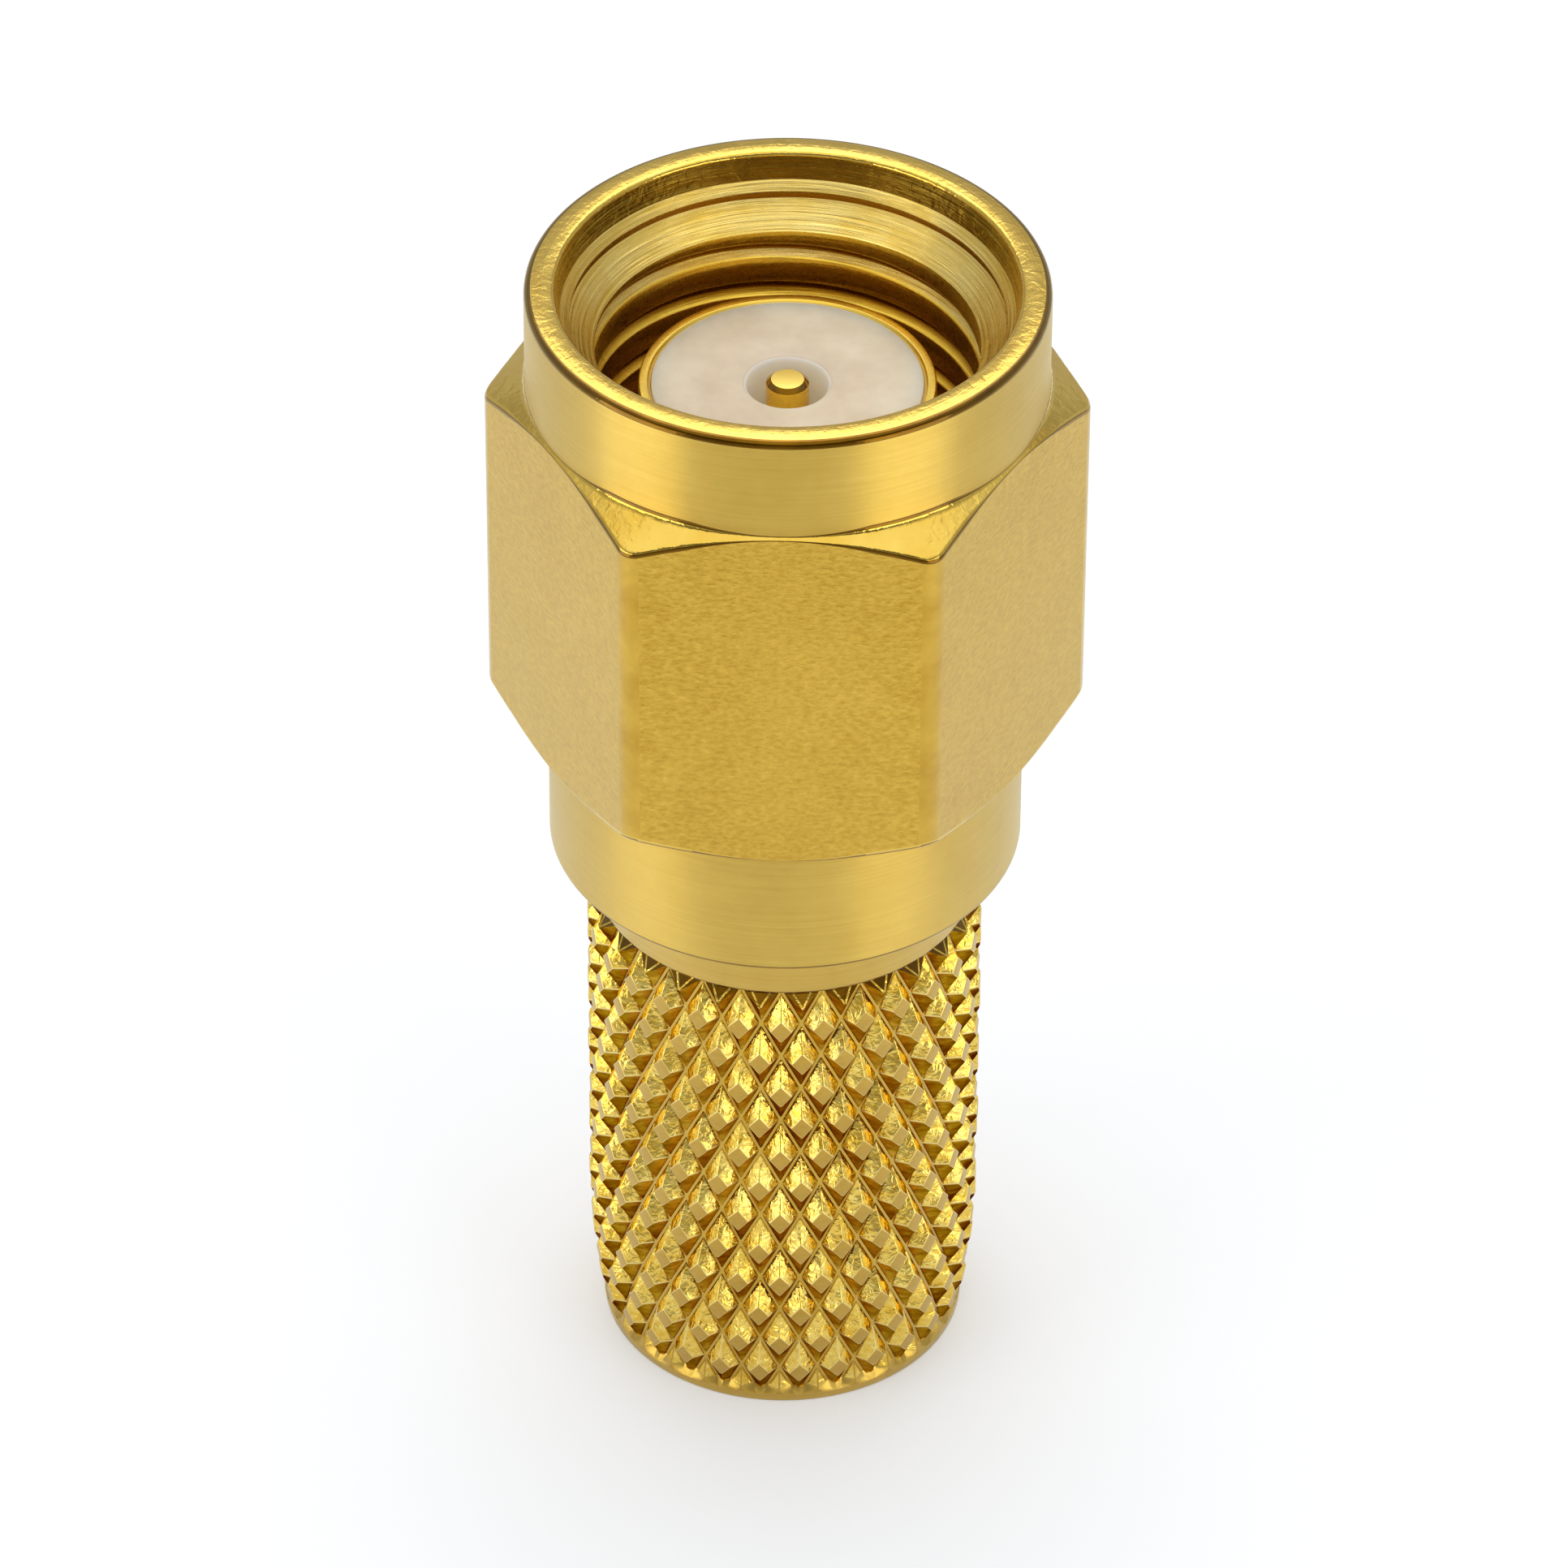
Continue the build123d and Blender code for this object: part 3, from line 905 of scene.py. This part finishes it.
def gold(
    name,
    deep,
    pale,
    roughness,
    lines=None,
    tooth=None,
    ripple=None,
    spread=0.12,
    along=0.0,
    painted_grazing_reflection=PAINTED_PALE_REFLECTION,
    root_shade=None,
    sheen=0.0,
    low=(1.6, 0.7),
    contrast=2.5,
    grain=0.5,
    edge_tint=(1, 1, 1, 1),
):
    """Gold plate: two tones, with turning lines, satin tooth or plating ripple in its surface.

    lines, tooth and ripple are (count per mm, bump strength, bump distance in mm). spread is how
    far the roughness drifts. along is how much the lines stretch reflections. glance is a painted
    reflection: the tone that the plate takes on where it is seen at a low angle, low the (power,
    share) of it, and edge_tint dims its mirroring there. roots are painted shade: the radii in mm
    between which the tone gets deeper towards the bottom of grooves, and the share left at the
    bottom. sheen is a matt coat. contrast and grain say how strongly the two tones differ and how
    much of that is fine.
    """
    material, tree = new_material(name)
    drift = use_group(tree, SATIN_TOOTH, {"Grains per mm": 14.0, "Drift per mm": 0.9})
    shade = drift["Drift"]
    surface = {
        "Metallic": 1.0,
        "Anisotropic": along,
        "Anisotropic Rotation": 0.25,
        "Specular Tint": edge_tint,
        "Coat Weight": sheen,
        "Coat Roughness": 0.4,
        "Roughness": drifting(tree, drift["Height"], roughness, spread),
    }
    for group, settings, label in (
        (TURNING_LINES, lines, "Lines per mm"),
        (SATIN_TOOTH, tooth, "Grains per mm"),
        (RIPPLE, ripple, "Ripples per mm"),
    ):
        if settings is None:
            continue
        count, strength, distance = settings
        height = use_group(tree, group, {label: count})["Height"]
        bump = {"Strength": strength, "Distance": distance * MM, "Height": height}
        if "Normal" in surface:
            bump["Normal"] = surface["Normal"]
        surface["Normal"] = node(tree, "ShaderNodeBump", bump).outputs[0]
        if group is not RIPPLE:
            fine_share = maths(tree, "MULTIPLY", height, grain)
            shade = maths(tree, "ADD", fine_share, maths(tree, "MULTIPLY", shade, 1 - grain))
    if along:
        tangent = node(tree, "ShaderNodeTangent", direction_type="RADIAL", axis="Z")
        surface["Tangent"] = tangent.outputs[0]
    tones = {"Deep": deep, "Pale": pale, "Contrast": contrast, "Mask": shade}
    colour = use_group(tree, TWO_TONE, tones)["Colour"]
    # Painted shade deepens the tone towards the bottom of grooves.
    if root_shade:
        depths = {"Colour": colour, "Bottom": root_shade[0], "Top": root_shade[1], "Deep": root_shade[2]}
        colour = use_group(tree, GROOVE_SHADE, depths)["Colour"]
    # Painted reflection: the base colour turns towards the given low-angle tone where the plate is
    # seen at a low angle.
    facing = node(tree, "ShaderNodeLayerWeight", {"Blend": 0.5}).outputs["Facing"]
    low_share = maths(tree, "MULTIPLY", maths(tree, "POWER", facing, low[0]), low[1])
    values = {"Factor": low_share, 6: colour, 7: painted_grazing_reflection}
    paler = node(tree, "ShaderNodeMix", values, data_type="RGBA")
    surface["Base Color"] = paler.outputs[2]
    add_surface(tree, surface)
    return material


def matt_material(name, deep, pale, contrast, marks, roughness, bump, more=()):
    """Two drifting tones and a fine tooth, for plastic and rubber.

    marks are the grains and the drift per mm, roughness is (centre, spread) and bump is
    (strength, distance in mm). more are further values of the surface.
    """
    material, tree = new_material(name)
    drift = use_group(tree, SATIN_TOOTH, {"Grains per mm": marks[0], "Drift per mm": marks[1]})
    tones = {"Deep": deep, "Pale": pale, "Contrast": contrast, "Mask": drift["Drift"]}
    tooth = {"Strength": bump[0], "Distance": bump[1] * MM, "Height": drift["Height"]}
    surface = {
        "Base Color": use_group(tree, TWO_TONE, tones)["Colour"],
        "Roughness": drifting(tree, drift["Height"], *roughness),
        "Normal": node(tree, "ShaderNodeBump", tooth).outputs[0],
    }
    surface.update(more)
    add_surface(tree, surface)
    return material


def white_insulator(name, deep, pale):
    glow_through = {
        "Subsurface Weight": 0.8,
        "Subsurface Radius": (1.0, 0.8, 0.6),
        "Subsurface Scale": 1.0 * MM,
    }
    marks, roughness, bump = (9.0, 0.7), (0.38, 0.15), (0.25, 0.004)
    return matt_material(name, deep, pale, 2.6, marks, roughness, bump, glow_through)


def soft_rubber(name):
    deep, pale = (0.2, 0.035, 0.02, 1), (0.27, 0.06, 0.035, 1)
    return matt_material(name, deep, pale, 2.5, (10.0, 1.2), (0.55, 0.1), (0.3, 0.01))


DEEP = (0.72, 0.41, 0.036, 1)
MID = (0.80, 0.49, 0.055, 1)
PALE = (0.92, 0.65, 0.13, 1)
satin = gold(
    "satin_face_gold",
    (0.56, 0.31, 0.025, 1),
    (0.84, 0.54, 0.08, 1),
    0.32,
    tooth=(16.0, 1.0, 0.02),
    painted_grazing_reflection=(0.78, 0.63, 0.24, 1),
    contrast=2.4,
    grain=0.75,
)
corner_gold = gold(
    "corner_gold",
    (0.52, 0.28, 0.02, 1),
    (0.78, 0.50, 0.07, 1),
    0.15,
    ripple=(5.0, 0.6, 0.016),
    spread=0.06,
)
brushed = gold(
    "brushed_gold",
    (0.72, 0.45, 0.05, 1),
    (0.86, 0.59, 0.1, 1),
    0.42,
    lines=(26.0, 0.4, 0.007),
    along=0.85,
    painted_grazing_reflection=(0.86, 0.70, 0.27, 1),
    sheen=0.5,
)
bright_edge = gold("bright_edge_gold", MID, PALE, 0.09, ripple=(6.0, 0.7, 0.018), spread=0.06)
shade_edge = gold(
    "shaded_edge_gold",
    (0.12, 0.05, 0.002, 1),
    (0.26, 0.12, 0.006, 1),
    0.14,
    ripple=(5.0, 0.3, 0.01),
)
# Painted shade: the inside wall of the nut's mouth gets a near-black tone for the shade inside it,
# with a pale painted reflection where it is seen at a low angle. Its turning lines and ripple are
# its own finish.
wall_shade_gold = gold(
    "wall_painted_shade_gold",
    (0.09, 0.04, 0.002, 1),
    (0.30, 0.15, 0.01, 1),
    0.26,
    lines=(9.0, 1.0, 0.05),
    ripple=(5.0, 0.9, 0.03),
    along=0.6,
    painted_grazing_reflection=(1.0, 0.76, 0.13, 1),
    low=(1.3, 1.0),
)
# Painted light: the lead-in cone in the nut's mouth gets a paler tone than the rest of the nut, for
# the light from above that falls on it. Its turning lines are its own finish.
lead_in_light_gold = gold(
    "lead_in_painted_light_gold",
    (0.84, 0.56, 0.09, 1),
    (1.0, 0.78, 0.26, 1),
    0.28,
    lines=(12.0, 0.9, 0.02),
    along=0.8,
    painted_grazing_reflection=PAINTED_WARM_REFLECTION,
    contrast=4.0,
)
# The thread's tone deepens towards its roots by painted groove shade.
thread_gold = gold(
    "thread_gold",
    (0.94, 0.56, 0.05, 1),
    (1.0, 0.72, 0.11, 1),
    0.28,
    lines=(14.0, 0.6, 0.01),
    ripple=(4.0, 0.3, 0.012),
    painted_grazing_reflection=PAINTED_WARM_REFLECTION,
    root_shade=(3.03, 2.91, 0.2),
)
rim_gold = gold(
    "rim_gold",
    MID,
    PALE,
    0.18,
    lines=(16.0, 0.6, 0.008),
    ripple=(7.0, 0.5, 0.014),
    along=0.4,
)
# Partly painted shade: the lands' satin tooth is their own finish; their deeper tone is painted
# shade, for the shadowed floor that they mirror.
land_shade_gold = gold(
    "knurl_land_painted_shade_gold",
    (0.52, 0.31, 0.045, 1),
    (0.66, 0.41, 0.07, 1),
    0.3,
    tooth=(14.0, 0.6, 0.008),
)
groove_gold = gold(
    "knurl_groove_gold",
    (0.60, 0.37, 0.04, 1),
    (0.78, 0.52, 0.08, 1),
    0.4,
    tooth=(14.0, 0.3, 0.004),
)
# Painted highlight: the knurl's narrow edge bevels get a pale tone, as bright lines along the
# edges.
ridge_highlight_gold = gold(
    "knurl_ridge_painted_highlight_gold",
    (0.92, 0.68, 0.20, 1),
    (0.98, 0.80, 0.34, 1),
    0.3,
    tooth=(14.0, 0.3, 0.004),
)
# The facets' tone deepens into the grooves by painted groove shade.
facet_gold = gold(
    "knurl_facet_gold",
    (0.82, 0.50, 0.05, 1),
    (1.0, 0.76, 0.19, 1),
    0.15,
    tooth=(12.0, 0.7, 0.012),
    ripple=(7.0, 1.0, 0.03),
    painted_grazing_reflection=PAINTED_WARM_REFLECTION,
    root_shade=(2.868, 2.9, 0.2),
    contrast=4.0,
    grain=0.6,
    edge_tint=(0.9, 0.6, 0.12, 1),
)
# Painted shade: the knurl's downward facets get a deeper amber tone, a near-black low-angle tone
# and a dark edge tint, for the shade and the dark reflections that fall on them.
underside_shade_gold = gold(
    "knurl_underside_painted_shade_gold",
    (0.40, 0.20, 0.012, 1),
    (0.90, 0.58, 0.08, 1),
    0.3,
    tooth=(9.0, 0.5, 0.01),
    ripple=(6.0, 0.7, 0.022),
    painted_grazing_reflection=(0.05, 0.018, 0.001, 1),
    low=(2.6, 1.0),
    contrast=4.0,
    edge_tint=(0.3, 0.13, 0.01, 1),
    root_shade=(2.868, 2.895, 0.3),
)
body_gold = gold(
    "body_gold",
    (0.58, 0.36, 0.045, 1),
    (0.76, 0.50, 0.09, 1),
    0.3,
    lines=(20.0, 0.6, 0.008),
    along=0.6,
    sheen=0.35,
)
ring_gold = gold(
    "contact_face_gold",
    (0.84, 0.52, 0.05, 1),
    (0.98, 0.70, 0.12, 1),
    0.22,
    lines=(20.0, 0.5, 0.006),
)
pin_side = gold(
    "pin_side_gold",
    DEEP,
    (0.86, 0.52, 0.05, 1),
    0.26,
    lines=(30.0, 0.3, 0.003),
    painted_grazing_reflection=PAINTED_WARM_REFLECTION,
)
# Painted light: the pin's top gets a paler tone than its sides, for the overhead light that falls
# on it.
pin_top_painted_light_gold = gold(
    "pin_top_painted_light_gold",
    (0.90, 0.62, 0.12, 1),
    (0.98, 0.74, 0.20, 1),
    0.3,
    lines=(30.0, 0.3, 0.003),
    painted_grazing_reflection=PAINTED_WARM_REFLECTION,
)
hidden_gold = gold("bore_gold", DEEP, MID, 0.3, lines=(8.0, 0.4, 0.01))
bronze = gold(
    "spring_bronze",
    (0.5, 0.26, 0.1, 1),
    (0.6, 0.34, 0.14, 1),
    0.35,
    lines=(9.0, 0.3, 0.01),
)
white = white_insulator("white_insulator", (0.64, 0.515, 0.365, 1), (0.84, 0.73, 0.56, 1))
# Painted light: the well in the insulator's face gets a near-white tone that fills in the shade
# inside it.
well_light_white = white_insulator("white_insulator_well_painted_light", (0.95, 0.90, 0.82, 1), (0.98, 0.95, 0.90, 1))
rubber = soft_rubber("sealing_rubber")


def lay_finishes(piece, finishes, choose):
    """Gives each face of a piece the finish that choose names for its radius, height and normal."""
    piece.data.materials.clear()
    names = list(finishes)
    for name in names:
        piece.data.materials.append(finishes[name])
    for face in piece.data.polygons:
        centre = face.center / MM
        radius = math.hypot(centre.x, centre.y)
        outward = (centre.x * face.normal.x + centre.y * face.normal.y) / max(radius, 1e-6)
        area = face.area / MM**2
        face.material_index = names.index(choose(radius, centre.z, outward, face.normal.z, area))


def nut_finish(radius, height, outward, upward, area):
    if height < NUT_REAR + 0.08 and upward < -0.1 and outward > 0.1:
        return "shade"
    if height > NUT_FRONT - 0.16 and outward > 0.2 and upward > 0.06:
        return "shade"
    if outward > 0.2 and radius > 3.5:
        if height > HEXAGON_FRONT + 0.12 and height < NUT_FRONT - 0.1:
            return "brushed"
        if height < HEXAGON_REAR and height > NUT_REAR + 0.06:
            return "brushed"
        if abs(upward) < 0.03:
            return "corner" if radius > CORNER_RADIUS - 0.045 else "satin"
        if 0.03 < upward < 0.46 or -0.7 < upward < -0.25:
            return "shade"
        return "edge"
    if height > NUT_FRONT - 0.04 and upward > 0.9:
        return "rim"
    if height > NUT_FRONT - 0.12 and upward > 0.15:
        return "edge"
    if height > 18.0 and 0.5 < upward < 0.85:
        return "cone"
    # The mouth's inside wall gets the painted shade of the wall finish.
    if height > NUT_FRONT - 0.6:
        return "wall"
    if height > 15.9:
        return "thread"
    if upward < -0.9 and height < 12.0:
        return "edge"
    return "bore"


def barrel_finish(radius, height, outward, upward, area):
    if radius < 2.6:
        return "bore"
    if height > BARREL_TOP - 0.1:
        return "shade"
    if height < FOOT_MARGIN or (height < FOOT_MARGIN + 0.15 and upward > 0.4):
        return "foot"
    if outward > 0.93:
        return "groove" if radius < root_radius(height) + 0.03 else "land"
    # Narrow bevels between the facets get the painted highlight of the ridge finish.
    if area < 0.006 and 0.5 < height < BARREL_TOP - 0.4:
        return "ridge"
    # Downward facets get the painted shade of the under finish.
    if upward < -0.2:
        return "under"
    return "facet"


def body_finish(radius, height, outward, upward, area):
    if height > CONTACT_FACE - 0.1 and upward > 0.2:
        return "ring"
    if height < BARREL_TOP + 0.06 and upward < -0.1:
        return "shade"
    return "body"


def contact_finish(radius, height, outward, upward, area):
    if height > PIN_TIP - 0.07 and outward > 0.3 and upward > 0.2:
        return "shade"
    if abs(upward) < 0.5:
        return "side"
    # The top gets the paler pin finish, which is painted light.
    return "pin"


def dielectric_finish(radius, height, outward, upward, area):
    # The well gets the painted light of the well finish.
    if radius < 0.66 and height > 16.9:
        return "well"
    return "white"


lay_finishes(
    nut,
    {
        "satin": satin,
        "brushed": brushed,
        "edge": bright_edge,
        "shade": shade_edge,
        "rim": rim_gold,
        "wall": wall_shade_gold,
        "cone": lead_in_light_gold,
        "thread": thread_gold,
        "corner": corner_gold,
        "bore": hidden_gold,
    },
    nut_finish,
)
lay_finishes(
    barrel,
    {
        "land": land_shade_gold,
        "foot": body_gold,
        "groove": groove_gold,
        "ridge": ridge_highlight_gold,
        "facet": facet_gold,
        "under": underside_shade_gold,
        "shade": shade_edge,
        "bore": hidden_gold,
    },
    barrel_finish,
)
lay_finishes(body, {"body": body_gold, "ring": ring_gold, "shade": shade_edge}, body_finish)
lay_finishes(dielectric_piece, {"white": white, "well": well_light_white}, dielectric_finish)
lay_finishes(contact, {"pin": pin_top_painted_light_gold, "side": pin_side, "shade": shade_edge}, contact_finish)
lay_finishes(gasket, {"rubber": rubber}, lambda *place: "rubber")

for node_name, finish in (("retaining_ring", bronze), ("rear_insulator", white)):
    cad_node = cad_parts[node_name]
    for slot in cad_node.material_slots:
        slot.material = finish

for piece, body_name, cad_name, slot_name in (
    (nut, "nut", "coupling_nut", "nut_gold"),
    (barrel, "plug_body", "crimp_barrel", "barrel_gold"),
    (body, "plug_body", "body", "body_gold"),
    (dielectric_piece, "plug_body", "front_insulator", "insulator_white"),
    (contact, "plug_body", "centre_contact", "contact_gold"),
    (gasket, "plug_body", "gasket", "gasket_rubber"),
):
    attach(piece, body_name)
    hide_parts(cad_name)


# Stage. Levels are grey and go with the sine of the elevation, from level to straight up
FLOOR_RADIUS = 90
FLOOR_FOR_CAMERA = 0.21
FLOOR_FOR_GOLD = 0.05
FRONT_LEVELS = (
    (0, 0.5),
    (0.04, 0.45),
    (0.3, 0.4),
    (0.5, 0.2),
    (0.67, 0.12),
    (0.77, 1.15),
    (1, 1.2),
)
REST_LEVELS = ((0, 0.5), (0.2, 0.5), (0.4, 0.35), (0.55, 0.55), (0.7, 0.6), (0.85, 1.1))
LAMP_AIM = 12
# Name, azimuth, elevation, distance, width, height (mm) and radiance
LAMPS = (
    ("overhead_lamp", 180, 64, 130, 120, 100, 1.5),
    ("left_lamp", -60, 9, 56, 36, 40, 1.6),
    ("right_lamp", 47, 9, 56, 36, 40, 1.55),
)


def studio_floor():
    bpy.ops.mesh.primitive_circle_add(vertices=128, radius=FLOOR_RADIUS * MM, fill_type="NGON")
    floor = bpy.context.object
    floor.name = "studio_floor"
    material, tree = new_material("studio_floor")
    rays = node(tree, "ShaderNodeLightPath").outputs
    seen = maths(tree, "MULTIPLY", rays["Is Camera Ray"], FLOOR_FOR_CAMERA)
    mirrored = maths(tree, "MULTIPLY", rays["Is Glossy Ray"], FLOOR_FOR_GOLD)
    strength = maths(tree, "ADD", seen, mirrored)
    paint = node(tree, "ShaderNodeBsdfDiffuse", {"Color": (0.795, 0.82, 0.855, 1)})
    glow = node(tree, "ShaderNodeEmission", {"Color": (0.99, 1, 1.01, 1), "Strength": strength})
    both = node(tree, "ShaderNodeAddShader", {0: paint.outputs[0], 1: glow.outputs[0]})
    node(tree, "ShaderNodeOutputMaterial", {0: both.outputs[0]})
    floor.data.materials.append(material)


def soft_lamp(name, azimuth, elevation, distance, width, height, radiance):
    """A rectangular soft lamp that faces the plug. Azimuth 0 is the camera's side, 90 is +X."""
    lamp = bpy.data.lights.new(name, "AREA")
    lamp.shape = "RECTANGLE"
    lamp.size = width * MM
    lamp.size_y = height * MM
    lamp.energy = radiance * math.pi * lamp.size * lamp.size_y
    holder = bpy.data.objects.new(name, lamp)
    bpy.context.collection.objects.link(holder)
    turn, rise = math.radians(azimuth), math.radians(elevation)
    outward = Vector(
        (math.sin(turn) * math.cos(rise), -math.cos(turn) * math.cos(rise), math.sin(rise))
    )
    holder.location = (Vector((0, 0, LAMP_AIM)) + outward * distance) * MM
    holder.rotation_mode = "QUATERNION"
    holder.rotation_quaternion = outward.to_track_quat("Z", "Y")


def level_ramp(tree, place, stops):
    """A grey ramp along a place, with (place, level) stops."""
    ramp = node(tree, "ShaderNodeValToRGB", {0: place})
    marks = ramp.color_ramp.elements
    marks[0].position, first_level = stops[0]
    marks[1].position, last_level = stops[-1]
    marks[0].color = (first_level, first_level, first_level, 1)
    marks[1].color = (last_level, last_level, last_level, 1)
    for stop, level in stops[1:-1]:
        marks.new(stop).color = (level, level, level, 1)
    return ramp.outputs[0]


def studio_world():
    """A grey studio that metal mirrors, white where the camera looks past the floor."""
    world = bpy.data.worlds.new("studio")
    bpy.context.scene.world = world
    tree = empty_nodes(world)
    place = node(tree, "ShaderNodeTexCoord").outputs["Generated"]
    parts = node(tree, "ShaderNodeSeparateXYZ", {0: place}).outputs
    front = level_ramp(tree, parts[2], FRONT_LEVELS)
    rest = level_ramp(tree, parts[2], REST_LEVELS)
    values = {"Value": parts[1], "From Min": -0.2, "From Max": -0.7}
    front_share = node(tree, "ShaderNodeMapRange", values, interpolation_type="SMOOTHSTEP")
    values = {"Factor": front_share.outputs["Result"], 6: rest, 7: front}
    blend = node(tree, "ShaderNodeMix", values, data_type="RGBA")
    sky = node(tree, "ShaderNodeBackground", {"Color": blend.outputs[2]})
    white_sky = node(tree, "ShaderNodeBackground", {"Color": (1, 1, 1, 1)})
    rays = node(tree, "ShaderNodeLightPath").outputs
    values = {0: rays["Is Camera Ray"], 1: sky.outputs[0], 2: white_sky.outputs[0]}
    mix = node(tree, "ShaderNodeMixShader", values)
    node(tree, "ShaderNodeOutputWorld", {0: mix.outputs[0]})


studio_floor()
studio_world()
for lamp_values in LAMPS:
    soft_lamp(*lamp_values)

# Camera
CAMERA_ELEVATION = math.radians(38.47)
CAMERA_DISTANCE = 155.63 * MM
CAMERA_TARGET = Vector((-0.0194, 0, 10.273)) * MM
CAMERA_ROLL = math.radians(0.322)
FOCAL_PIXELS = 12378
PHOTO_PIXELS = 1932
SENSOR_WIDTH = 36
camera_data = bpy.data.cameras.new("photo_camera")
camera_data.sensor_width = SENSOR_WIDTH
camera_data.lens = FOCAL_PIXELS / PHOTO_PIXELS * SENSOR_WIDTH
camera_data.clip_start = 0.005
camera_data.clip_end = 5
camera = bpy.data.objects.new("photo_camera", camera_data)
bpy.context.collection.objects.link(camera)
back = Vector((0, -math.cos(CAMERA_ELEVATION), math.sin(CAMERA_ELEVATION)))
tilt = Matrix.Rotation(math.pi / 2 - CAMERA_ELEVATION, 4, "X")
roll = Matrix.Rotation(CAMERA_ROLL, 4, "Z")
camera.matrix_world = Matrix.Translation(CAMERA_TARGET + back * CAMERA_DISTANCE) @ tilt @ roll
bpy.context.scene.camera = camera
bpy.context.scene.view_settings.view_transform = "Standard"
